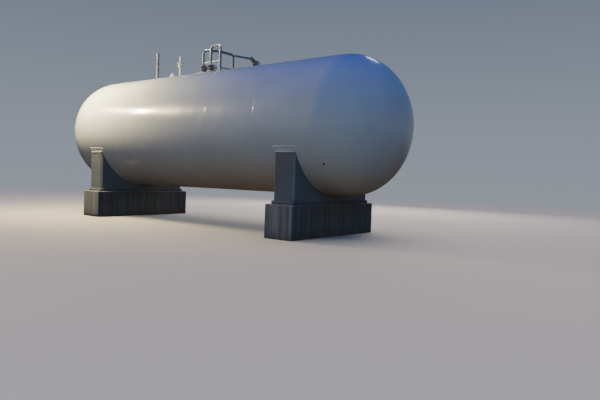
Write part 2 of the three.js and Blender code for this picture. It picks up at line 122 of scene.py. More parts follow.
class Form:
    """Points and faces gathered from several closed shapes, for one mesh."""

    # Across and up a weld bead, as shares of half its width and of its height
    BEAD = [(s, 1 - s ** 2) for s in (-1.0, -0.6, -0.2, 0.2, 0.6, 1.0)] + [(0.6, -0.4), (-0.6, -0.4)]

    def __init__(self):
        self.points = []
        self.faces = []

    def skin(self, rings, loop=False, place=None):
        """Join rings of points with faces and close both ends. A ring of one point is a pole."""
        starts = []
        for ring in rings:
            starts.append(len(self.points))
            self.points += [place @ Vector(p) if place else Vector(p) for p in ring]
        for a in range(len(rings) if loop else len(rings) - 1):
            b = (a + 1) % len(rings)
            count_a, count_b = len(rings[a]), len(rings[b])
            count = max(count_a, count_b)
            for i in range(count):
                j = (i + 1) % count
                corners = (
                    starts[a] + i % count_a,
                    starts[a] + j % count_a,
                    starts[b] + j % count_b,
                    starts[b] + i % count_b,
                )
                self.faces.append(tuple(dict.fromkeys(corners)))
        if not loop:
            for start, ring in ((starts[0], rings[0]), (starts[-1], rings[-1])):
                if len(ring) > 2:
                    self.faces.append(tuple(start + i for i in range(len(ring))))

    def lathe(self, profile, place=None, sides=PIPE_SIDES):
        """Turn [radius, height] pairs about local Z. The profile ends on the axis or closes on itself."""
        loop = profile[0] == profile[-1]
        rings = []
        for radius, height in profile[:-1] if loop else profile:
            angles = turns(sides) if radius else [0]
            rings.append([(radius * math.cos(a), radius * math.sin(a), height) for a in angles])
        self.skin(rings, loop, place)

    def sweep(self, points, radius, sides=PIPE_SIDES):
        """A round bar along a line of points."""
        rings = []
        across = None
        for i, point in enumerate(points):
            ahead = points[min(i + 1, len(points) - 1)] - points[max(i - 1, 0)]
            ahead.normalize()
            if across is None:
                across = ahead.orthogonal()
            across = (across - ahead * across.dot(ahead)).normalized()
            up = ahead.cross(across)
            rings.append([
                point + radius * (math.cos(a) * across + math.sin(a) * up) for a in turns(sides)
            ])
        self.skin(rings)

    def bead(self, points, normals, width, height, seed, loop=True):
        """A weld bead that lies on a surface along a line of points, with uneven ripples."""
        draw = random.Random(seed)
        rings = []
        last = len(points) - 1
        for i, (point, normal) in enumerate(zip(points, normals)):
            behind = points[i - 1] if loop or i > 0 else point
            beyond = points[(i + 1) % len(points)] if loop or i < last else point
            side = (beyond - behind).normalized().cross(normal).normalized()
            swell = draw.uniform(0.9, 1.1)
            rings.append([
                point + side * (0.5 * width * across) + normal * (height * swell * rise)
                for across, rise in self.BEAD
            ])
        self.skin(rings, loop)

    def foot_weld(self, x, y, radius, surface, width=0.012, height=0.008):
        """A fillet weld round a pipe or plate where it meets the curved surface under it."""
        points, normals = [], []
        for a in turns(max(24, round(radius * 400))):
            px, py = x + radius * math.cos(a), y + radius * math.sin(a)
            point = Vector((px, py, surface_height(py, surface)))
            points.append(point)
            normals.append(Vector((0, py, point.z - AXIS_HEIGHT)).normalized())
        self.bead(points, normals, width, height, 7)

    def seat(self, x, y, radius, surface=PAD_RADIUS):
        """Lift every point below the curved surface onto it, and weld round the foot."""
        for point in self.points:
            point.z = max(point.z, surface_height(point.y, surface) - BITE)
        self.foot_weld(x, y, radius, surface)

    def butt_weld(self, place, radius, height):
        """A thin weld round a pipe."""
        inside = radius - 0.003
        low, high = height - 0.005, height + 0.005
        self.lathe([(inside, low), (radius + 0.002, height), (inside, high), (inside, low)], place)

    def flange(self, place, radius, low, high):
        self.lathe(drum(radius, low, high, 0.0025), place, FLANGE_SIDES)

    def nuts(self, place, size, circle, count, low, high):
        """Nuts and stud ends on both faces of a bolted joint."""
        nut, sunk, stud = 0.011, 0.001, 0.017
        for a in turns(count):
            angle = a + math.pi / count
            spot = place @ Matrix.Translation((circle * math.cos(angle), circle * math.sin(angle), 0))
            self.lathe(drum(size, high - sunk, high + nut, 0.0015), spot, NUT_SIDES)
            self.lathe(drum(size, low - nut, low + sunk, 0.0015), spot, NUT_SIDES)
            self.lathe(drum(size * 0.55, low - stud, high + stud, 0.001), spot, 10)

    def flange_nuts(self, place, settings, low, high):
        """Nuts round two pipe flanges that meet, between their outer faces."""
        circle = settings.flange_radius - 0.018
        self.nuts(place, settings.bolt_radius, circle, settings.flange_bolts, low, high)

    def flanged_neck(self, spot, settings, radius, flare, flare_height):
        """A short pipe that stands on a pad and widens into its flange."""
        thick = settings.flange_thickness
        joint = spot.top - thick
        self.lathe(drum(radius, spot.base - 0.01, spot.top - thick / 2), spot.place, FITTING_SIDES)
        self.seat(spot.x, spot.y, radius)
        self.lathe(taper(radius, joint - flare_height, radius + flare, joint), spot.place, FITTING_SIDES)
        self.flange(spot.place, settings.flange_radius, joint, spot.top)

    def socket(self, x, y, radius, low, high, surface=PAD_RADIUS):
        """A plain foot in which a pipe stands."""
        self.lathe(drum(radius, low - 0.02, high, 0.005), stand((x, y, 0)), FITTING_SIDES)
        self.seat(x, y, radius, surface)

    def pipe(self, corners, radius, bend, sides=PIPE_SIDES):
        """A pipe with a butt weld at both ends of each bend."""
        points, welds = route(corners, bend)
        self.sweep(points, radius, sides)
        for where, ahead in welds:
            self.butt_weld(stand(where, ahead), radius, 0)


def drum(radius, low, high, edge=0.002):
    """A closed profile with chamfered rims."""
    return [
        (0, low), (radius - edge, low), (radius, low + edge),
        (radius, high - edge), (radius - edge, high), (0, high),
    ]


def taper(low_radius, low, high_radius, high):
    """A closed profile that runs straight from one radius to another."""
    return [(0, low), (low_radius, low), (high_radius, high), (0, high)]


def open_mouth(radius, top, base):
    """The chamfered mouth of an open pipe, and its bore down to the base."""
    bore = radius - PIPE_WALL
    return [
        (radius, top - MOUTH_EDGE), (radius - MOUTH_EDGE, top),
        (bore + MOUTH_EDGE, top), (bore, top - MOUTH_EDGE), (bore, base),
    ]


def dome(radius, rise, base, steps):
    """A quarter ellipse from its rim to its pole."""
    angles = spaced(0, math.pi / 2, steps)[:-1]
    return [(radius * math.cos(a), base + rise * math.sin(a)) for a in angles] + [(0, base + rise)]


def swelling(pairs, steps=6):
    """A closed profile through [radius, height] pairs, whose radius swells and narrows softly."""
    eased = [(0, pairs[0][1])]
    for (r0, z0), (r1, z1) in zip(pairs, pairs[1:]):
        for share in spaced(0, 1, steps)[:-1]:
            blend = share * share * (3 - 2 * share)
            eased.append((r0 + (r1 - r0) * blend, z0 + (z1 - z0) * share))
    return eased + [pairs[-1], (0, pairs[-1][1])]


def route(corners, bend, steps=10):
    """Points along straight runs joined by round bends, and the two ends of each bend."""
    points = [Vector(corners[0])]
    welds = []
    for before, corner, after in zip(corners, corners[1:], corners[2:]):
        arriving = (corner - before).normalized()
        leaving = (after - corner).normalized()
        turn = arriving.angle(leaving)
        start = corner - arriving * bend * math.tan(turn / 2)
        inward = (leaving - arriving * leaving.dot(arriving)).normalized()
        centre = start + inward * bend
        for angle in spaced(0, turn, steps):
            points.append(centre - inward * bend * math.cos(angle) + arriving * bend * math.sin(angle))
        welds += [(start, arriving), (points[-1].copy(), leaving)]
    points.append(Vector(corners[-1]))
    return points, welds


def finish_name(slot):
    return f"{slot}_finish"


def piece(name, form, finish, *nodes, crease=38):
    """A finished piece on the tank's one body, in place of the frame's nodes of the same shape."""
    mesh = bpy.data.meshes.new(name)
    mesh.from_pydata([tuple(p) for p in form.points], [], form.faces)
    tidy = bmesh.new()
    tidy.from_mesh(mesh)
    bmesh.ops.recalc_face_normals(tidy, faces=tidy.faces)
    tidy.to_mesh(mesh)
    tidy.free()
    mesh.shade_smooth()
    mesh.set_sharp_from_angle(angle=math.radians(crease))
    mesh.materials.append(bpy.data.materials[finish_name(finish)])
    made = bpy.data.objects.new(name, mesh)
    bpy.context.scene.collection.objects.link(made)
    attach(made, "root")
    if nodes:
        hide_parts(*nodes)


# Finishes

def add_node(tree, kind, inputs=None, **settings):
    """A new node, with each input linked to a socket or set to a value."""
    made = tree.nodes.new(kind)
    for name, value in settings.items():
        setattr(made, name, value)
    for socket, value in (inputs or {}).items():
        if isinstance(value, bpy.types.NodeSocket):
            tree.links.new(value, made.inputs[socket])
        else:
            made.inputs[socket].default_value = value
    return made


class Finish:
    """A procedural material, built up in layers of colour and of bumps on one surface."""

    def __init__(self, name, colour):
        self.material = bpy.data.materials.new(name)
        self.material.use_nodes = True
        self.tree = self.material.node_tree
        self.surface = self.tree.nodes["Principled BSDF"]
        self.colour = tuple(colour)
        self.base = self.normal = None
        self.here = self.node("ShaderNodeTexCoord").outputs["Object"]
        self.x, self.y, self.z = self.node("ShaderNodeSeparateXYZ", {0: self.here}).outputs

    def node(self, kind, inputs=None, **settings):
        return add_node(self.tree, kind, inputs, **settings)

    def set(self, **values):
        """Constants of the surface, with spaces in their names written as underscores."""
        for name, value in values.items():
            self.surface.inputs[name.replace("_", " ")].default_value = value

    def maths(self, operation, *values):
        return self.node("ShaderNodeMath", dict(enumerate(values)), operation=operation).outputs[0]

    def times(self, one, other):
        return self.maths("MULTIPLY", one, other)

    def noise(self, scale, detail, coarse=0.5, stretch=None, where=None):
        where = where or self.here
        if stretch:
            scaled = self.node("ShaderNodeVectorMath", {0: where, 1: stretch}, operation="MULTIPLY")
            where = scaled.outputs[0]
        inputs = {"Vector": where, "Scale": scale, "Detail": detail, "Roughness": coarse}
        return self.node("ShaderNodeTexNoise", inputs).outputs["Fac"]

    def facing(self):
        """How far the surface faces along each axis."""
        geometry = self.node("ShaderNodeNewGeometry")
        return self.node("ShaderNodeSeparateXYZ", {0: geometry.outputs["Normal"]}).outputs

    def spread(self, value, low, high, to_low=0.0, to_high=1.0):
        """Map a value from one range to another, and hold it there."""
        inputs = {"Value": value, "From Min": low, "From Max": high, "To Min": to_low, "To Max": to_high}
        return self.node("ShaderNodeMapRange", inputs, clamp=True).outputs["Result"]

    def tone(self, factor):
        return tuple(c * factor for c in self.colour)

    def mix(self, below, share, above):
        """Two colours mixed by a share. Each is a colour or a socket."""
        below, above = (c + (1.0,) if isinstance(c, tuple) else c for c in (below, above))
        return self.node("ShaderNodeMix", {0: share, 6: below, 7: above}, data_type="RGBA").outputs[2]

    def mottle(self, pattern, low, high, dark, pale):
        """Vary the slot's own colour between two tones as the pattern goes from low to high."""
        self.base = self.mix(self.tone(dark), self.spread(pattern, low, high), self.tone(pale))

    def wear(self, share, colour):
        """Lay a colour over what is there."""
        self.base = self.mix(self.base, share, colour)

    def bump(self, height, depth):
        """Raise the surface by a pattern, on top of the bumps that are there."""
        inputs = {"Height": height, "Distance": depth, "Strength": 1.0}
        if self.normal:
            inputs["Normal"] = self.normal
        self.normal = self.node("ShaderNodeBump", inputs).outputs["Normal"]

    def apply(self, roughness):
        for socket, value in (("Base Color", self.base), ("Roughness", roughness), ("Normal", self.normal)):
            self.tree.links.new(value, self.surface.inputs[socket])


def tank_paint(finish):
    """Cream gloss enamel: faint cloudiness, thin runs down the sides, and darker and browner towards the
    belly.
    """
    grime, belly_tone = (0.33, 0.30, 0.25), (0.30, 0.25, 0.18)
    finish.set(Coat_Weight=0.5, Coat_Roughness=0.09)
    around = finish.maths("ARCTAN2", finish.y, finish.maths("SUBTRACT", finish.z, AXIS_HEIGHT))
    side = finish.maths("SIGN", finish.y)
    unrolled = finish.node("ShaderNodeCombineXYZ", {0: finish.x, 1: around, 2: side}).outputs[0]
    clouds = finish.noise(1.4, 3.0, stretch=(0.5, 0.7, 0.7))
    runs = finish.noise(2.2, 5.0, 0.6, (5.5, 0.45, 3.0), unrolled)
    specks = finish.noise(26.0, 3.0, 0.7)
    run_share = finish.spread(runs, 0.56, 0.8, 0.0, 0.1)
    belly = finish.spread(finish.z, 1.05, 2.3, 1.0, 0.0)

    finish.mottle(clouds, 0.3, 0.7, 0.94, 1.04)
    finish.wear(run_share, grime)
    # Darker and browner towards the belly
    finish.wear(finish.times(belly, finish.spread(clouds, 0.25, 0.75, 0.06, 0.24)), belly_tone)
    finish.wear(finish.spread(specks, 0.66, 0.74, 0.0, 0.12), grime)
    finish.bump(finish.noise(90.0, 2.0), 0.0003)
    finish.bump(finish.noise(2.3, 1.0), 0.006)
    gloss = finish.spread(clouds, 0.3, 0.7, 0.22, 0.3)
    finish.apply(finish.maths("ADD", gloss, finish.times(run_share, 0.3)))


def pipe_paint(finish):
    """Aluminium-grey paint on pipe, dulled and grimy in patches."""
    finish.set(Metallic=0.3)
    patches = finish.noise(7.0, 5.0, 0.6)
    finish.mottle(patches, 0.35, 0.62, 0.8, 1.12)
    finish.wear(finish.spread(patches, 0.66, 0.78, 0.0, 0.6), (0.16, 0.11, 0.075))
    finish.bump(finish.noise(140.0, 3.0), 0.0004)
    finish.apply(finish.spread(patches, 0.3, 0.7, 0.16, 0.3))


def valve_metal(finish):
    """Dark paint on cast iron, worn brown in patches."""
    finish.set(Metallic=0.1)
    patches = finish.noise(18.0, 6.0, 0.65)
    finish.mottle(patches, 0.35, 0.6, 0.75, 1.5)
    finish.wear(finish.spread(patches, 0.58, 0.7, 0.0, 0.75), (0.17, 0.085, 0.04))
    finish.bump(finish.noise(260.0, 3.0, 0.6), 0.0009)
    finish.apply(finish.spread(patches, 0.3, 0.7, 0.4, 0.65))


def saddle_coat(finish):
    """Dark blue-grey coating on cast concrete, with a painted highlight on the chamfered edges, painted
    light on the faces towards +X, rain marks and a dusty foot.
    """
    patches = finish.noise(1.6, 6.0, 0.55)
    marks = finish.noise(1.6, 4.0, 0.6, (9.0, 9.0, 0.7))
    endways, sideways, _ = finish.facing()
    # Where the painted highlight on the chamfered upright edges goes
    edge = finish.spread(finish.maths("ABSOLUTE", finish.times(endways, sideways)), 0.2, 0.5)
    foot = finish.times(finish.spread(finish.z, 0.88, 1.25, 1.0, 0.0), finish.spread(marks, 0.3, 0.6))

    finish.mottle(patches, 0.3, 0.7, 0.82, 1.2)
    # Painted highlight: the chamfered upright edges are made lighter and warmer, as if light fell on them
    finish.wear(finish.times(edge, finish.spread(patches, 0.25, 0.6, 0.5, 0.9)), (0.36, 0.30, 0.22))
    # Painted light: the faces towards +X are made up to twice as light, as if lit on that side
    finish.wear(finish.spread(endways, 0.6, 0.95, 0.0, 0.5), finish.tone(2.0))
    finish.wear(finish.spread(marks, 0.52, 0.78, 0.0, 0.16), (0.15, 0.18, 0.21))
    finish.wear(finish.times(foot, 0.35), (0.17, 0.15, 0.12))
    finish.bump(patches, 0.006)
    finish.bump(finish.noise(70.0, 4.0, 0.65), 0.0012)
    finish.apply(finish.spread(patches, 0.3, 0.7, 0.58, 0.78))


def mortar(finish):
    """Grey levelling mortar, sandy and uneven; its own grey is kept dark as painted shade for the gap
    between saddle and pier.
    """
    patches = finish.noise(5.0, 6.0, 0.6)
    sand = finish.noise(220.0, 3.0, 0.7)
    finish.mottle(patches, 0.3, 0.7, 0.7, 1.25)
    finish.bump(patches, 0.012)
    finish.bump(sand, 0.002)
    finish.apply(finish.spread(sand, 0.2, 0.8, 0.8, 0.95))


def pier_concrete(finish):
    """Bare concrete: upright board marks, pores, pale bloom, a damp foot and painted shade on the faces
    towards +X.
    """
    boards = finish.noise(1.0, 3.0, 0.55, (7.5, 7.5, 0.22))
    streaks = finish.noise(1.0, 5.0, 0.65, (16.0, 16.0, 0.9))
    patches = finish.noise(2.6, 6.0, 0.6)
    pores = finish.node("ShaderNodeTexVoronoi", {"Vector": finish.here, "Scale": 34.0})
    pits = finish.spread(pores.outputs["Distance"], 0.06, 0.17)
    endways = finish.facing()[0]
    foot = finish.spread(finish.z, 0.0, 0.3, 1.0, 0.0)

    finish.mottle(boards, 0.38, 0.62, 0.72, 1.35)
    finish.wear(finish.spread(streaks, 0.56, 0.74, 0.0, 0.4), (0.30, 0.28, 0.24))
    finish.wear(finish.spread(patches, 0.55, 0.75, 0.0, 0.5), finish.tone(0.55))
    finish.wear(finish.times(foot, finish.spread(patches, 0.3, 0.6, 0.4, 0.9)), finish.tone(0.5))
    # Painted shade: the faces towards +X are darkened, as if that side lay in shade
    finish.wear(finish.spread(endways, 0.6, 0.95, 0.0, 0.6), finish.tone(0.35))
    finish.base = finish.mix(finish.tone(0.3), pits, finish.base)
    finish.bump(boards, 0.01)
    finish.bump(pits, 0.004)
    finish.bump(finish.noise(160.0, 4.0, 0.7), 0.0016)
    finish.apply(finish.spread(patches, 0.3, 0.7, 0.82, 0.95))


# Settings

def length(name, description, default):
    return FloatProperty(name=name, description=description, default=default, unit="LENGTH", precision=4)


def degrees(name, description, default):
    return FloatProperty(name=name, description=description, default=math.radians(default), subtype="ANGLE")


def colour(name, description, default):
    return FloatVectorProperty(
        name=name, description=description, default=default, subtype="COLOR", min=0.0, max=1.0)


class PaintSettings(bpy.types.PropertyGroup):
    tank_paint: colour("Tank paint", "Cream enamel of the shell and the fittings", (0.76, 0.70, 0.59))
    pipe_paint: colour("Pipe paint", "Aluminium-grey paint of the crown piping", (0.24, 0.24, 0.24))
    valve_metal: colour("Valve paint", "Dark paint of the valves and handwheels", (0.12, 0.105, 0.09))
    saddle_coat: colour("Saddle coating", "Dark coating of the two saddles", (0.128, 0.134, 0.132))
    # The mortar's own grey, kept dark as painted shade for the gap between saddle and pier
    mortar: colour("Mortar", "Levelling mortar between pier and saddle", (0.165, 0.152, 0.132))
    pier_concrete: colour("Concrete", "Bare concrete of the two piers", (0.25, 0.22, 0.172))


class ShellSettings(bpy.types.PropertyGroup):
    wall: length("Wall", "Thickness of the rolled plates", 0.016)
    swell: length("Swell", "Greatest unevenness of a rolled plate", 0.0012)
    seam_dip: length("Seam dip", "How far a plate edge pulls in at a seam", 0.0006)
    bead_width: length("Bead width", "Width of a weld bead", 0.03)
    bead_height: length("Bead height", "Height of a weld bead", 0.0024)
    long_seam: degrees("Long seam", "Angle of the plates' own seams behind the crown", 38)


class SupportSettings(bpy.types.PropertyGroup):
    plate_reach: degrees("Wear plate reach", "Angle from the bottom to the wear plate's upper edge", 70)
    plate_corner: length("Plate corner", "Corner radius of the wear plate", 0.085)
    plate_thickness: length("Plate thickness", "Thickness of the wear plate", 0.014)
    chamfer: length("Saddle chamfer", "Chamfer of the saddle's upright edges", 0.05)
    pier_edge: length("Pier chamfer", "Chamfer of the pier's edges", 0.02)


class CrownSettings(bpy.types.PropertyGroup):
    flange_radius: length("Flange radius", "Radius of the pipe flanges", 0.092)
    flange_thickness: length("Flange thickness", "Thickness of one flange", 0.018)
    bolt_radius: length("Bolt size", "Radius of a nut across its corners", 0.0125)
    flange_bolts: IntProperty(name="Bolts", description="Bolts in one flange", default=8, min=4)
    wheel_radius: length("Handwheel", "Radius of a handwheel's rim", 0.064)


class StageSettings(bpy.types.PropertyGroup):
    eye: FloatVectorProperty(
        name="Camera", description="Where the camera stands", default=(11.873, -11.268, 1.443),
        subtype="TRANSLATION")
    lens: FloatProperty(name="Lens", description="Focal length", default=32.95, unit="CAMERA")
    heading: degrees("Heading", "Camera heading", 37.901)
    pitch: degrees("Pitch", "Camera pitch", -2.391)
    roll: degrees("Roll", "Camera roll", 1.946)
    floor: colour("Floor", "Colour of the plain floor", (0.72, 0.62, 0.46))
    ground: colour("Ground light", "Colour of the soft light from below", (0.058, 0.045, 0.036))
    horizon: colour("Horizon light", "Colour of the soft light from the horizon", (0.195, 0.223, 0.247))
    air: colour("Side light", "Colour of the soft light from the sides", (0.041, 0.118, 0.298))
    sky: colour("Sky light", "Colour of the soft light from above", (0.017, 0.040, 0.620))
    backdrop_low: colour("Backdrop foot", "Colour of the backdrop at the horizon", (0.30, 0.33, 0.38))
    backdrop_high: colour("Backdrop top", "Colour of the backdrop high up", (0.13, 0.17, 0.24))


class GasTankSettings(bpy.types.PropertyGroup):
    paint: PointerProperty(type=PaintSettings)
    shell: PointerProperty(type=ShellSettings)
    support: PointerProperty(type=SupportSettings)
    crown: PointerProperty(type=CrownSettings)
    stage: PointerProperty(type=StageSettings)


class GASTANK_OT_finishes(bpy.types.Operator):
    """Make the six finishes of the tank"""
    bl_idname = "gastank.finishes"
    bl_label = "Finishes"

    def execute(self, context):
        for maker in (tank_paint, pipe_paint, valve_metal, saddle_coat, mortar, pier_concrete):
            slot = maker.__name__
            maker(Finish(finish_name(slot), getattr(context.scene.gas_tank.paint, slot)))
        return {"FINISHED"}


# Shell

def seam_pull(along):
    """How much of the seam's dip a point has at a distance from the seam."""
    return math.exp(-(along / SEAM_REACH) ** 2)


def plate_offset(settings, x, angle):
    """How far the rolled plate lies off a true cylinder, fading out at the heads."""
    fade_length = 0.4
    fade = min(1.0, max(0.0, (HEAD_START - abs(x)) / fade_length))
    broad = math.sin(3 * angle + 1.7 * x) * math.sin(1.9 * x + 0.6)
    narrow = math.sin(7 * angle - 2.3 * x + 1.1)
    dips = sum(seam_pull(x - seam) for seam in SEAMS)
    return settings.swell * fade * (0.6 * broad + 0.4 * narrow) - settings.seam_dip * dips


def around_axis(x, radius, angle):
    """A point at an angle from the crown towards +Y."""
    return Vector((x, radius * math.sin(angle), AXIS_HEIGHT + radius * math.cos(angle)))


def outward(angle):
    """The direction straight out of the shell at an angle from the crown."""
    return around_axis(0, 1, angle) - around_axis(0, 0, angle)


def on_plate(settings, x, angle):
    """A point on the outside of the rolled plates."""
    return around_axis(x, TANK_RADIUS + plate_offset(settings, x, angle), angle)


class GASTANK_OT_shell(bpy.types.Operator):
    """Roll the shell plates and weld their seams"""
    bl_idname = "gastank.shell"
    bl_label = "Shell plates"

    def execute(self, context):
        settings = context.scene.gas_tank.shell
        for number, (high, low) in enumerate(zip(SEAMS, SEAMS[1:]), 1):
            self.rolled_plate(settings, number, low, high)
            self.long_weld(settings, number, low, high)
        for number, seam in enumerate(SEAMS, 1):
            self.ring_weld(settings, number, seam)
        return {"FINISHED"}

    def rolled_plate(self, settings, number, low, high):
        width = high - low
        near_seam = (0.0, 0.015, 0.035, 0.06, 0.09, 0.13, 0.18)
        middles = spaced(near_seam[-1], width - near_seam[-1], 10)[1:-1]
        stations = [*near_seam, *middles, *(width - s for s in reversed(near_seam))]
        inside = TANK_RADIUS - settings.wall
        rings = [[on_plate(settings, low + s, a) for a in turns(AROUND)] for s in stations]
        rings += [[around_axis(x, inside, a) for a in turns(AROUND)] for x in (high, low)]
        plate = Form()
        plate.skin(rings, loop=True)
        piece(f"rolled_plate_{number}", plate, "tank_paint", f"shell_course_{number}")

    def long_weld(self, settings, number, low, high):
        """The seam along one plate, at one angle on even plates and another on odd ones."""
        angle = settings.long_seam * (1.6 if number % 2 else 1)
        points = [on_plate(settings, x, angle) for x in spaced(low, high, 60)]
        normals = [outward(angle)] * len(points)
        weld = Form()
        weld.bead(points, normals, settings.bead_width, settings.bead_height, 39 + number, loop=False)
        piece(f"long_weld_{number}", weld, "tank_paint")

    def ring_weld(self, settings, number, seam):
        """The seam round the tank, ground almost flush at the heads."""
        angles = turns(2 * AROUND)
        points, normals = [on_plate(settings, seam, a) for a in angles], [outward(a) for a in angles]
        height = settings.bead_height * (0.25 if seam in (SEAMS[0], SEAMS[-1]) else 1.0)
        weld = Form()
        weld.bead(points, normals, settings.bead_width, height, 19 + number)
        piece(f"ring_weld_{number}", weld, "tank_paint")


class GASTANK_OT_heads(bpy.types.Operator):
    """Press the two dished heads, and set the small plug in the near one"""
    bl_idname = "gastank.heads"
    bl_label = "Dished heads"

    def execute(self, context):
        settings = context.scene.gas_tank.shell
        for end, sign in (("near", 1), ("far", -1)):
            inside = self.dish(sign, TANK_RADIUS - settings.wall, HEAD_DEPTH - settings.wall, 0.0)
            outside = self.dish(sign, TANK_RADIUS, HEAD_DEPTH, settings.seam_dip)
            head = Form()
            head.skin(inside[::-1] + outside)
            piece(f"dished_head_{end}", head, "tank_paint", f"head_{end}")
        self.plug()
        return {"FINISHED"}

    def dish(self, sign, radius, depth, dip, steps=56):
        """Rings over half an ellipsoid, from its rim to its pole."""
        rings = []
        for angle in spaced(0, math.pi / 2, steps)[:-1]:
            x = sign * (HEAD_START + depth * math.sin(angle))
            around = radius * math.cos(angle) - dip * seam_pull(abs(x) - HEAD_START)
            rings.append([around_axis(x, around, a) for a in turns(AROUND)])
        return rings + [[around_axis(sign * (HEAD_START + depth), 0, 0)]]

    def plug(self):
        """A small screwed plug, low on the near head's front, placed from the tank's axis."""
        side, drop = -1.375, -0.971
        out = math.hypot(side, drop) / TANK_RADIUS
        along = HEAD_DEPTH * math.sqrt(1 - out ** 2)
        normal = Vector((along / HEAD_DEPTH ** 2, side / TANK_RADIUS ** 2, drop / TANK_RADIUS ** 2))
        place = stand((HEAD_START + along, side, AXIS_HEIGHT + drop), normal.normalized())
        plug = Form()
        plug.lathe(drum(0.023, -0.01, 0.016, 0.003), place, 32)
        plug.lathe(drum(0.015, 0.014, 0.028), place, NUT_SIDES)
        piece("head_plug", plug, "valve_metal")


# Supports

class GASTANK_OT_wear_plates(bpy.types.Operator):
    """Bend the two wear plates round the shell's underside and weld them on"""
    bl_idname = "gastank.wear_plates"
    bl_label = "Wear plates"

    def execute(self, context):
        tank = context.scene.gas_tank
        for end in ("near", "far"):
            self.wear_plate(tank.support, f"wear_plate_{end}", tank.shell.bead_width)
        return {"FINISHED"}

    def wear_plate(self, settings, node, weld_width):
        low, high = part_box(node)
        middle, half_width = (low.x + high.x) / 2, (high.x - low.x) / 2
        reach, corner, edge = settings.plate_reach, settings.plate_corner, 0.003
        outer = TANK_RADIUS + settings.plate_thickness
        corner_angle = corner / TANK_RADIUS
        shares = [corner_angle * (1 - math.cos(a)) for a in spaced(0, math.pi / 2, 8)[:-1]]
        straight = reach - corner_angle
        angles = [-reach + s for s in shares] + spaced(-straight, straight, 96)
        angles += [reach - s for s in reversed(shares)]

        def half_at(angle):
            depth = min(corner, TANK_RADIUS * (reach - abs(angle)))
            return half_width - corner + math.sqrt(max(0.0, corner ** 2 - (corner - depth) ** 2))

        rings = []
        for angle in angles:
            half = half_at(angle)
            section = [(-half, TANK_RADIUS), (-half, outer - edge), (-half + edge, outer)]
            section += [(half * k / 4, outer) for k in range(-3, 4)]
            section += [(half - edge, outer), (half, outer - edge), (half, TANK_RADIUS)]
            rings.append([around_axis(middle + x, radius, math.pi + angle) for x, radius in section])
        plate = Form()
        plate.skin(rings)
        piece(f"{node}_bent", plate, "tank_paint", node)

        weld_radius, weld_height = TANK_RADIUS + 0.002, 0.008
        outline = [(half_at(a), a) for a in angles] + [(-half_at(a), a) for a in reversed(angles)]
        points = [around_axis(middle + x, weld_radius, math.pi + a) for x, a in outline]
        normals = [outward(math.pi + a) for _, a in outline]
        fillet = Form()
        fillet.bead(points, normals, weld_width, weld_height, 60)
        piece(f"{node}_weld", fillet, "tank_paint")


class GASTANK_OT_saddles(bpy.types.Operator):
    """Cast the two saddles with chamfered upright edges, and cap their horns"""
    bl_idname = "gastank.saddles"
    bl_label = "Saddles"

    def execute(self, context):
        for end in ("near", "far"):
            self.saddle(context.scene.gas_tank.support, end)
            for side in ("front", "back"):
                block(f"saddle_cap_{end}_{side}", "strip", "tank_paint", 0.005)
        return {"FINISHED"}

    def saddle(self, settings, end):
        low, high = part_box(f"saddle_{end}")
        chamfer, soft, clearance = settings.chamfer, 0.005, 0.0006
        seat_radius = TANK_RADIUS + settings.plate_thickness + clearance

        def outline(side_inset, seat_inset):
            """Along the curved seat, down one side and up the other."""
            radius = seat_radius + seat_inset
            reach = math.acos(min(1.0, (AXIS_HEIGHT - high.z) / radius))
            angles, heights = spaced(-reach, reach, 64), spaced(high.z, low.z, 8)
            points = [(-radius * math.sin(a), AXIS_HEIGHT - radius * math.cos(a)) for a in angles]
            side = high.y - side_inset
            return points + [(-side, z) for z in heights] + [(side, z) for z in reversed(heights)]

        stations = ((0.0, chamfer, soft), (soft, chamfer - soft, 0.0), (chamfer, 0.0, 0.0))
        rings = [[(low.x + s, y, z) for y, z in outline(a, b)] for s, a, b in stations]
        rings += [[(high.x - s, y, z) for y, z in outline(a, b)] for s, a, b in reversed(stations)]
        form = Form()
        form.skin(rings)
        piece(f"saddle_{end}_block", form, "saddle_coat", f"saddle_{end}", crease=30)


def block(node, suffix, finish, edge, wobble=0.0, pitch=0.0, seed=3, crease=38):
    """An upright block with chamfered edges, its faces pulled in unevenly by up to wobble."""
    low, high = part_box(node)
    draw = random.Random(seed)
    waves = [(draw.uniform(1, 5), draw.uniform(1, 5), draw.uniform(0, 6)) for _ in range(4)]

    def dip(a, b):
        return wobble * 0.5 * (1 + sum(math.sin(u * a + v * b + w) for u, v, w in waves) / len(waves))

    def steps_for(size):
        return max(1, round((size - 2 * edge) / pitch)) if pitch else 1

    steps_x, steps_y, steps_z = (steps_for(size) for size in high - low)

    def ring(z, inset):
        x0, x1, y0, y1 = low.x + inset, high.x - inset, low.y + inset, high.y - inset
        points = [(x, y0 + dip(x, z), z) for x in spaced(x0 + edge, x1 - edge, steps_x)]
        points += [(x1 - dip(y, z), y, z) for y in spaced(y0 + edge, y1 - edge, steps_y)]
        points += [(x, y1 - dip(x, z), z) for x in spaced(x1 - edge, x0 + edge, steps_x)]
        points += [(x0 + dip(y, z), y, z) for y in spaced(y1 - edge, y0 + edge, steps_y)]
        return points

    rings = [ring(z, 0.0) for z in spaced(low.z + edge, high.z - edge, steps_z)]
    form = Form()
    form.skin([ring(low.z, edge / 2)] + rings + [ring(high.z, edge)])
    piece(f"{node}_{suffix}", form, finish, node, crease=crease)


class GASTANK_OT_piers(bpy.types.Operator):
    """Cast the two piers and their mortar beds"""
    bl_idname = "gastank.piers"
    bl_label = "Piers"

    def execute(self, context):
        edge = context.scene.gas_tank.support.pier_edge
        for seed, end in enumerate(("near", "far")):
            block(f"pier_{end}", "cast", "pier_concrete", edge, 0.003, 0.08, 5 + seed, 30)
            block(f"mortar_bed_{end}", "laid", "mortar", 0.012, 0.012, 0.035, 8 + seed, 50)
        return {"FINISHED"}


# Crown fittings

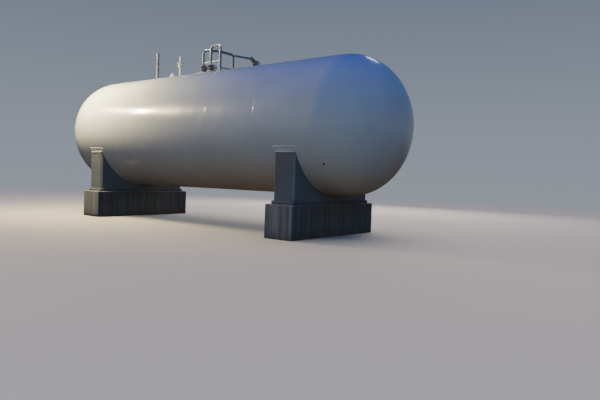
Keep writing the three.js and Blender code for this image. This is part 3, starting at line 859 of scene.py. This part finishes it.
class GASTANK_OT_pads(bpy.types.Operator):
    """Roll the pads under the crown fittings"""
    bl_idname = "gastank.pads"
    bl_label = "Pads"

    def execute(self, context):
        for node in ("vent_pad", "relief_pad", "crown_pad", "header_pad"):
            self.rolled_pad(node)
        return {"FINISHED"}

    def rolled_pad(self, node):
        """A round plate that follows the shell, with a soft rim and a fillet weld round it."""
        spot = Spot(node)
        edge = 0.004

        def ring(share, lift):
            reach = spot.radius * share
            plan = [(spot.x + reach * math.cos(a), spot.y + reach * math.sin(a)) for a in turns(96)]
            return [(x, y, surface_height(y, TANK_RADIUS + lift)) for x, y in plan]

        inner = spaced(0, 1, 12)[1:-1]
        edge_share = (spot.radius - edge) / spot.radius
        rim = [(edge_share, PAD_THICKNESS), (1.0, PAD_THICKNESS - edge), (1.0, 0.0)]
        outline = [(share, PAD_THICKNESS) for share in inner] + rim + [(share, 0.0) for share in inner[::-1]]
        top, under = ring(0, PAD_THICKNESS)[:1], ring(0, 0.0)[:1]
        pad = Form()
        pad.skin([top] + [ring(share, lift) for share, lift in outline] + [under])
        pad.foot_weld(spot.x, spot.y, spot.radius, TANK_RADIUS, 0.014, 0.007)
        piece(f"{node}_rolled", pad, "tank_paint", node)


class GASTANK_OT_vent(bpy.types.Operator):
    """Stand the plain open vent pipe on its pad"""
    bl_idname = "gastank.vent"
    bl_label = "Vent pipe"

    def execute(self, context):
        spot = Spot("vent_pipe")
        radius, base = spot.radius, spot.base - 0.004
        pipe = Form()
        pipe.lathe(
            [(radius - PIPE_WALL, base), (radius, base)] + open_mouth(radius, spot.top, base),
            spot.place, FITTING_SIDES)
        pipe.seat(spot.x, spot.y, radius)
        pipe.butt_weld(spot.place, radius, base + 0.45)
        piece("vent_pipe_open", pipe, "pipe_paint", "vent_pipe")
        return {"FINISHED"}


class GASTANK_OT_hatch(bpy.types.Operator):
    """Close the small hatch with its bolted dome"""
    bl_idname = "gastank.hatch"
    bl_label = "Hatch"

    def execute(self, context):
        settings = context.scene.gas_tank.crown
        neck, cap = Spot("hatch_neck"), Spot("hatch_cap")
        joint, ring = neck.top, 0.014

        form = Form()
        form.lathe(drum(neck.radius, neck.base - 0.02, joint), cap.place, HATCH_SIDES)
        form.seat(cap.x, cap.y, neck.radius, TANK_RADIUS)
        form.lathe(drum(cap.radius, joint - ring, joint - 0.0005), cap.place, HATCH_SIDES)
        piece("hatch_neck_welded", form, "tank_paint", "hatch_neck")

        form = Form()
        base = joint + settings.flange_thickness
        rim = [
            (0, joint), (cap.radius - 0.002, joint), (cap.radius, joint + 0.002),
            (cap.radius, base - 0.003), (cap.radius - 0.003, base),
        ]
        form.lathe(rim + dome(cap.radius - 0.024, cap.top - base, base, 14), cap.place, HATCH_SIDES)
        form.nuts(cap.place, settings.bolt_radius, cap.radius - 0.014, 12, joint - ring, base)
        piece("hatch_dome", form, "tank_paint", "hatch_cap")
        return {"FINISHED"}


class GASTANK_OT_relief(bpy.types.Operator):
    """Build the relief valve between its inlet pipe and its open stack"""
    bl_idname = "gastank.relief"
    bl_label = "Relief valve"

    def execute(self, context):
        settings = context.scene.gas_tank.crown
        inlet, stack = Spot("relief_inlet"), Spot("relief_stack")
        place, radius = inlet.place, stack.radius
        thick, wide = settings.flange_thickness, settings.flange_radius
        low, high = inlet.top, stack.base
        middle, waist, belly = (low + high) / 2, 0.054, 0.062

        form = Form()
        form.flanged_neck(inlet, settings, radius, 0.012, 0.03)
        form.butt_weld(place, radius, low - thick - 0.05)
        piece("relief_inlet_welded", form, "tank_paint", "relief_inlet")

        form = Form()
        form.flange(place, wide, low, low + thick)
        form.flange(place, wide, high - thick, high)
        form.lathe(
            swelling([(waist, low + thick), (belly, middle), (waist, high - thick)]), place, FLANGE_SIDES)
        bonnet = stand((inlet.x, inlet.y, middle), (1, 0, 0))
        form.lathe(drum(0.024, 0.05, 0.114), bonnet, 32)
        form.lathe(drum(0.030, 0.094, 0.104), bonnet, 32)
        form.lathe(drum(0.018, 0.112, 0.130, 0.003), bonnet, NUT_SIDES)
        form.flange_nuts(place, settings, low - thick, low + thick)
        form.flange_nuts(place, settings, high - thick, high + 0.001)
        piece("relief_valve_body", form, "tank_paint", "relief_valve")

        form = Form()
        ring, ring_top = wide - 0.004, high + 0.012
        foot = [
            (radius - PIPE_WALL, high), (ring, high), (ring, ring_top),
            (radius + 0.008, ring_top), (radius, ring_top + 0.02),
        ]
        form.lathe(foot + open_mouth(radius, stack.top, high), place, FITTING_SIDES)
        piece("relief_stack_open", form, "tank_paint", "relief_stack")
        return {"FINISHED"}


def handwheel(form, place, rim):
    """A rim on four dished spokes round a hub, square to local Z."""
    bar, spoke_bar, dish, lean = 0.009, 0.006, 0.012, 0.4
    section = [(rim + bar * math.cos(a), bar * math.sin(a)) for a in turns(12)]
    form.lathe(section + [section[0]], place, FLANGE_SIDES)
    form.lathe(drum(0.022, -0.016, 0.012, 0.003), place, 24)
    form.lathe(drum(0.012, 0.010, 0.022), place, NUT_SIDES)
    for a in turns(4):
        spoke = [
            (r * math.cos(a + lean), r * math.sin(a + lean), -dish * math.sin(math.pi * r / rim))
            for r in (0.012, 0.025, 0.04, 0.055, rim)
        ]
        form.sweep([place @ Vector(p) for p in spoke], spoke_bar, 10)


def gate_valve(name, node, settings):
    """A flanged gate valve with a bolted bonnet and a handwheel towards +X."""
    low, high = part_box(node)
    wide, thick = settings.flange_radius, settings.flange_thickness
    x, y, middle = low.x + wide, (low.y + high.y) / 2, (low.z + high.z) / 2
    bottom, top = middle - VALVE_HEIGHT / 2, middle + VALVE_HEIGHT / 2
    place, across = stand((x, y, 0)), stand((x, y, middle), (1, 0, 0))
    shoulder, waist, waist_height, belly = 0.052, 0.050, 0.012, 0.066
    collar, face, bonnet = 0.060, 0.072, 0.0945
    valve = Form()
    valve.flange(place, wide, bottom, bottom + thick)
    valve.flange(place, wide, top - thick, top)
    valve.lathe(swelling([
        (shoulder, bottom + thick), (waist, bottom + thick + waist_height), (belly, middle),
        (waist, top - thick - waist_height), (shoulder, top - thick),
    ]), place, FLANGE_SIDES)
    valve.lathe(swelling([(0.048, 0.0), (0.044, 0.07)]), across, FITTING_SIDES)
    valve.lathe(drum(collar, face, 0.083), across, FITTING_SIDES)
    valve.lathe(drum(collar, 0.0835, bonnet), across, FITTING_SIDES)
    valve.nuts(across, settings.bolt_radius, 0.050, 6, face, bonnet)
    valve.lathe(swelling([(0.036, 0.094), (0.026, 0.108), (0.016, 0.150)]), across, 32)
    valve.lathe(drum(0.0085, 0.14, 0.196), across, 20)
    handwheel(valve, across @ Matrix.Translation((0, 0, 0.18)), settings.wheel_radius)
    valve.flange_nuts(place, settings, bottom - thick, bottom + thick)
    valve.flange_nuts(place, settings, top - thick, top + thick)
    piece(name, valve, "valve_metal", node)


class GASTANK_OT_valves(bpy.types.Operator):
    """Build the three gate valves, their necks, the blind flange and two pipe sockets"""
    bl_idname = "gastank.valves"
    bl_label = "Valves"

    def execute(self, context):
        settings = context.scene.gas_tank.crown
        for letter in "ab":
            form = Form()
            form.flanged_neck(Spot(f"riser_{letter}_neck"), settings, 0.0445, 0.01, 0.02)
            piece(f"riser_{letter}_neck_welded", form, "tank_paint", f"riser_{letter}_neck")
            gate_valve(f"riser_{letter}_gate_valve", f"riser_{letter}_valve", settings)
        gate_valve("branch_gate_valve", "header_valve", settings)

        spot = Spot("header_blind_flange")
        blind = Form()
        blind.flange(spot.place, settings.flange_radius, spot.base, spot.top)
        blind.lathe(drum(0.045, spot.base - 0.003, spot.base + 0.004), spot.place, FITTING_SIDES)
        piece("blind_flange", blind, "pipe_paint", "header_blind_flange")

        for name, node, surface in (
            ("loop_socket", "loop_foot", PAD_RADIUS), ("balance_socket", "balance_neck", TANK_RADIUS),
        ):
            spot = Spot(node)
            foot = Form()
            foot.socket(spot.x, spot.y, spot.radius, spot.base, spot.top, surface)
            piece(name, foot, "tank_paint", node)
        return {"FINISHED"}


# Crown piping, with heights above the crown
RISER_RADIUS, RISER_BEND, TALL_BEND = 0.038, 0.076, 0.115
HEADER_CORNER, HEADER_LEG, HEADER_HEIGHT, HEADER_FOOT = (-0.400, 0.348), (-0.405, 0.900), 0.715, -0.28
BRANCH_RADIUS, BRANCH_END, BRANCH_HEIGHT = 0.030, (-0.205, 1.640), 0.703
BYPASS_RADIUS, BYPASS_FOOT, BYPASS_FOOT_HEIGHT, BYPASS_HEIGHT = 0.024, 0.038, 0.040, 0.371
BALANCE_RADIUS, BALANCE_HEIGHT, BALANCE_TURN = 0.018, 0.2, 0.440
SMALL_BEND = 0.055


def crown_point(x, y, height):
    """A point at a height above the tank's crown."""
    return Vector((x, y, CROWN + height))


def valve_joint(form, settings, x, valve_top):
    """A pipe's flange on top of a riser's valve, with the pipe flared into it."""
    place = stand((x, 0, 0))
    top = valve_top + settings.flange_thickness
    form.flange(place, settings.flange_radius, valve_top, top)
    form.lathe(taper(RISER_RADIUS + 0.012, top, RISER_RADIUS, top + 0.03), place, FITTING_SIDES)


class GASTANK_OT_piping(bpy.types.Operator):
    """Bend the risers, the loops, the header, its branch and the balance line"""
    bl_idname = "gastank.piping"
    bl_label = "Crown piping"

    def execute(self, context):
        settings = context.scene.gas_tank.crown
        self.header(settings)
        self.tall_hoop(settings)
        bypass_end = self.bypass()
        self.branch(settings)
        self.balance_line(bypass_end)
        return {"FINISHED"}

    def header(self, settings):
        """The first riser and the header, which meet in a weld on their level run."""
        spot = Spot("riser_a_neck")
        valve_top = spot.top + VALVE_HEIGHT
        top = crown_point(spot.x, 0, HEADER_HEIGHT)
        corner = crown_point(*HEADER_CORNER, HEADER_HEIGHT)
        joint = top.lerp(corner, 0.5)
        form = Form()
        form.pipe([Vector((spot.x, 0, valve_top)), top, joint], RISER_RADIUS, RISER_BEND)
        valve_joint(form, settings, spot.x, valve_top)
        piece("riser_a_bent", form, "pipe_paint", "riser_a_pipe")

        ahead, gap = (corner - top).normalized(), 0.0003
        leg = [crown_point(*HEADER_LEG, height) for height in (HEADER_HEIGHT, HEADER_FOOT)]
        form = Form()
        form.pipe([joint + ahead * gap, corner, *leg], RISER_RADIUS, RISER_BEND)
        form.seat(*HEADER_LEG, RISER_RADIUS)
        form.butt_weld(stand(joint, ahead), RISER_RADIUS, 0)
        piece("header_bent", form, "pipe_paint", "header_pipe")

    def tall_hoop(self, settings):
        """The second riser, bent over into its foot."""
        riser, foot = Spot("riser_b_neck"), Spot("loop_foot")
        valve_top = Spot("riser_a_neck").top + VALVE_HEIGHT
        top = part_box("riser_b_loop")[1].z - RISER_RADIUS
        form = Form()
        form.pipe([
            Vector((riser.x, 0, valve_top)), Vector((riser.x, 0, top)),
            Vector((foot.x, 0, top)), Vector((foot.x, 0, foot.top - BITE)),
        ], RISER_RADIUS, TALL_BEND)
        valve_joint(form, settings, riser.x, valve_top)
        piece("riser_b_bent", form, "pipe_paint", "riser_b_loop")

    def bypass(self):
        """The white loop on two feet of its own. Returns the foot at its +X end."""
        low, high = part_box("bypass_loop")
        y, foot_top = (low.y + high.y) / 2, CROWN + BYPASS_FOOT_HEIGHT
        left, right = Vector((low.x + BYPASS_FOOT, y, 0)), Vector((high.x - BYPASS_FOOT, y, 0))
        form = Form()
        for foot in (left, right):
            form.socket(foot.x, foot.y, BYPASS_FOOT, low.z, foot_top)
        form.pipe([
            Vector((left.x, left.y, foot_top - BITE)), crown_point(left.x, left.y, BYPASS_HEIGHT),
            crown_point(right.x, right.y, BYPASS_HEIGHT), Vector((right.x, right.y, foot_top - BITE)),
        ], BYPASS_RADIUS, SMALL_BEND, 24)
        piece("bypass_bent", form, "tank_paint", "bypass_loop")
        return right

    def branch(self, settings):
        """The header's branch, with a bolted flange before its last bend."""
        start, end = crown_point(*HEADER_LEG, BRANCH_HEIGHT), crown_point(*BRANCH_END, BRANCH_HEIGHT)
        valve_top = Spot("header_blind_flange").top + VALVE_HEIGHT
        thick, gap, wide, bolt_circle, bolts = settings.flange_thickness, 0.0004, 0.075, 0.058, 8
        ahead = (end - start).normalized()
        form = Form()
        form.pipe(
            [start + ahead * 0.02, end, Vector((end.x, end.y, valve_top))], BRANCH_RADIUS, SMALL_BEND)
        place = stand(end - ahead * 0.11, ahead)
        form.flange(place, wide, -thick, -gap)
        form.flange(place, wide, gap, thick)
        form.nuts(place, settings.bolt_radius, bolt_circle, bolts, -thick, thick)
        form.flange(stand((end.x, end.y, 0)), settings.flange_radius, valve_top, valve_top + 0.004)
        form.butt_weld(stand(start, ahead), BRANCH_RADIUS, 0.045)
        piece("header_branch_bent", form, "pipe_paint", "header_branch")

    def balance_line(self, start):
        """The thin line from the bypass loop's leg down to its own socket on the shell."""
        end = Spot("balance_neck")
        form = Form()
        form.pipe([
            crown_point(start.x, start.y + 0.022, BALANCE_HEIGHT),
            crown_point(start.x, BALANCE_TURN, BALANCE_HEIGHT),
            crown_point(end.x, end.y, BALANCE_HEIGHT),
            Vector((end.x, end.y, end.top - BITE)),
        ], BALANCE_RADIUS, SMALL_BEND, 20)
        piece("balance_bent", form, "pipe_paint", "balance_line")


# Stage

WARM, LAMP, STREAK = (1.0, 0.938, 0.579), (1.0, 0.776, 0.473), (1.0, 0.80, 0.52)
DUSK, COOL, FLOOR_GLOW = (0.25, 0.565, 1.0), (0.85, 0.90, 1.0), (1.0, 0.93, 0.60)
LEVEL, SLANTED = (1.0, 0.0, 0.0), (0.78, -0.55, -0.30)

# Each light's name, place and aim, the way its width runs, its width and height, its watts, its tint,
# and whether paint shows it in its matt shade, in its gloss or in both
LIGHTS = (
    ("key_light", (-4.5, -2.8, 5.8), (-4.3, -1.0, 3.0), LEVEL, (1.4, 1.4), 719.0, WARM, "matt"),
    ("front_light", (0.0, -15.0, 1.5), (0.0, 0.0, 1.8), LEVEL, (8.0, 2.0), 89.0, LAMP, "matt"),
    ("fill_light", (15.0, -20.0, 9.0), (3.0, 0.0, 2.2), LEVEL, (18.0, 9.0), 875.0, DUSK, "matt"),
    ("back_light", (-3.0, 14.0, 8.0), (-0.5, 0.0, 2.6), LEVEL, (12.0, 6.0), 1500.0, COOL, "matt"),
    ("streak_light", (-12.6, -6.9, 8.5), (-1.9, -1.6, 3.2), SLANTED, (3.4, 0.7), 280.0, STREAK, "gloss"),
    ("glint_light", (-12.3, -7.6, 8.4), (0.5, -1.6, 3.2), LEVEL, (0.5, 1.2), 1050.0, STREAK, "gloss"),
    ("edge_light", (1.55, 10.6, 12.2), (5.3, -0.2, 4.2), LEVEL, (2.3, 0.07), 45.0, COOL, "gloss"),
    ("crown_light", (-1.2, -0.5, 10.4), (-0.6, 0.2, 5.0), LEVEL, (3.0, 3.0), 1500.0, COOL, "both"),
)
# What a light falls on, where that isn't everything. The floor's own even light keeps it pale
REACH = {"crown_light": ("riser_a_bent", "riser_b_bent", "bypass_bent"), "floor_light": ("floor",)}


def add_light(name, kind, tint, power):
    """A light of the scene, with what it falls on."""
    data = bpy.data.lights.new(name, kind)
    data.color, data.energy = tint, power
    light = bpy.data.objects.new(name, data)
    bpy.context.scene.collection.objects.link(light)
    if name in REACH:
        lit = bpy.data.collections.new(f"{name}_reach")
        for thing in REACH[name]:
            lit.objects.link(bpy.data.objects[thing])
        light.light_linking.receiver_collection = lit
    return light


class GASTANK_OT_stage(bpy.types.Operator):
    """Lay the plain floor, hang the soft lights and stand the camera"""
    bl_idname = "gastank.stage"
    bl_label = "Stage"

    def execute(self, context):
        settings = context.scene.gas_tank.stage
        self.floor(settings)
        self.air(context.scene, settings)
        for light in LIGHTS:
            self.soft_light(*light)
        add_light("floor_light", "SUN", FLOOR_GLOW, 1.5).data.angle = math.radians(70)
        self.camera(context.scene, settings)
        return {"FINISHED"}

    def soft_light(self, name, where, aim, along, size, power, tint, seen):
        """A rectangular light that faces its aim, with its width along the given direction."""
        light = add_light(name, "AREA", tint, power)
        light.data.shape = "RECTANGLE"
        light.data.size, light.data.size_y = size
        back = (Vector(where) - Vector(aim)).normalized()
        side = Vector(along)
        side = (side - back * side.dot(back)).normalized()
        facing = Matrix((side, back.cross(side), back)).transposed()
        light.matrix_world = Matrix.Translation(where) @ facing.to_4x4()
        light.visible_diffuse = seen != "gloss"
        light.visible_glossy = seen != "matt"
        light.visible_camera = False

    def floor(self, settings):
        """A plain floor that fades out far from the tank."""
        half, fade_start, fade_end = 160.0, 10.0, 34.0
        finish = Finish("floor_paint", settings.floor)
        finish.set(Base_Color=finish.colour + (1.0,), Roughness=0.9)
        away = finish.node("ShaderNodeVectorMath", {0: finish.here}, operation="LENGTH").outputs["Value"]
        inputs = {"Value": away, "From Min": fade_start, "From Max": fade_end, "To Min": 1.0, "To Max": 0.0}
        fade = finish.node("ShaderNodeMapRange", inputs, interpolation_type="SMOOTHSTEP")
        finish.tree.links.new(fade.outputs["Result"], finish.surface.inputs["Alpha"])

        corners = [(-half, -half, 0), (half, -half, 0), (half, half, 0), (-half, half, 0)]
        mesh = bpy.data.meshes.new("floor")
        mesh.from_pydata(corners, [], [(0, 1, 2, 3)])
        mesh.materials.append(finish.material)
        floor = bpy.data.objects.new("floor", mesh)
        bpy.context.scene.collection.objects.link(floor)
        floor.visible_diffuse = floor.visible_glossy = False

    def air(self, scene, settings):
        """Soft light from all round, in four bands from the ground up, behind a plain backdrop."""
        scene.world = bpy.data.worlds.new("air")
        scene.world.use_nodes = True
        tree = scene.world.node_tree
        place = add_node(tree, "ShaderNodeTexCoord").outputs["Generated"]
        split = add_node(tree, "ShaderNodeSeparateXYZ", {0: place})
        rise = add_node(tree, "ShaderNodeMapRange", {"Value": split.outputs["Z"], "From Min": -1.0})

        def bands(*stops):
            made = add_node(tree, "ShaderNodeValToRGB", {"Fac": rise.outputs["Result"]})
            ramp = made.color_ramp
            ramp.interpolation = "EASE"
            while len(ramp.elements) < len(stops):
                ramp.elements.new(0.5)
            for element, (height, shown) in zip(ramp.elements, stops):
                element.position = 0.5 + 0.5 * height
                element.color = tuple(shown) + (1.0,)
            return made.outputs["Color"]

        light = bands(
            (-0.20, settings.ground), (0.04, settings.horizon), (0.44, settings.air), (0.90, settings.sky))
        backdrop = bands((-0.10, settings.backdrop_low), (0.50, settings.backdrop_high))
        seen = add_node(tree, "ShaderNodeLightPath").outputs["Is Camera Ray"]
        mix = add_node(tree, "ShaderNodeMix", {0: seen, 6: light, 7: backdrop}, data_type="RGBA")
        tree.links.new(mix.outputs[2], tree.nodes["Background"].inputs["Color"])

    def camera(self, scene, settings):
        data = bpy.data.cameras.new("camera")
        data.sensor_fit = "HORIZONTAL"
        data.sensor_width = 36.0
        data.lens = settings.lens
        data.clip_end = 500.0
        camera = bpy.data.objects.new("camera", data)
        facing = (
            Matrix.Rotation(settings.heading, 4, "Z")
            @ Matrix.Rotation(math.pi / 2 + settings.pitch, 4, "X")
            @ Matrix.Rotation(settings.roll, 4, "Z")
        )
        camera.matrix_world = Matrix.Translation(settings.eye) @ facing
        scene.collection.objects.link(camera)
        scene.camera = camera


# Sidebar and start

STEPS = (
    GASTANK_OT_finishes, GASTANK_OT_shell, GASTANK_OT_heads, GASTANK_OT_wear_plates, GASTANK_OT_saddles,
    GASTANK_OT_piers, GASTANK_OT_pads, GASTANK_OT_vent, GASTANK_OT_hatch, GASTANK_OT_relief,
    GASTANK_OT_valves, GASTANK_OT_piping, GASTANK_OT_stage,
)


class GASTANK_PT_steps(bpy.types.Panel):
    """Every step of the tank, in the order in which they run"""
    bl_idname = "GASTANK_PT_steps"
    bl_label = "Gas Tank"
    bl_space_type = "VIEW_3D"
    bl_region_type = "UI"
    bl_category = "Gas Tank"

    def draw(self, context):
        for step in STEPS:
            self.layout.operator(step.bl_idname)


GROUPS = (PaintSettings, ShellSettings, SupportSettings, CrownSettings, StageSettings, GasTankSettings)
CLASSES = (*GROUPS, *STEPS, GASTANK_PT_steps)


def register():
    for made in CLASSES:
        bpy.utils.register_class(made)
    bpy.types.Scene.gas_tank = PointerProperty(type=GasTankSettings)


def unregister():
    del bpy.types.Scene.gas_tank
    for made in reversed(CLASSES):
        bpy.utils.unregister_class(made)


def main():
    register()
    for step in STEPS:
        getattr(bpy.ops.gastank, step.bl_idname.split(".")[1])()


if __name__ == "__main__":
    main()
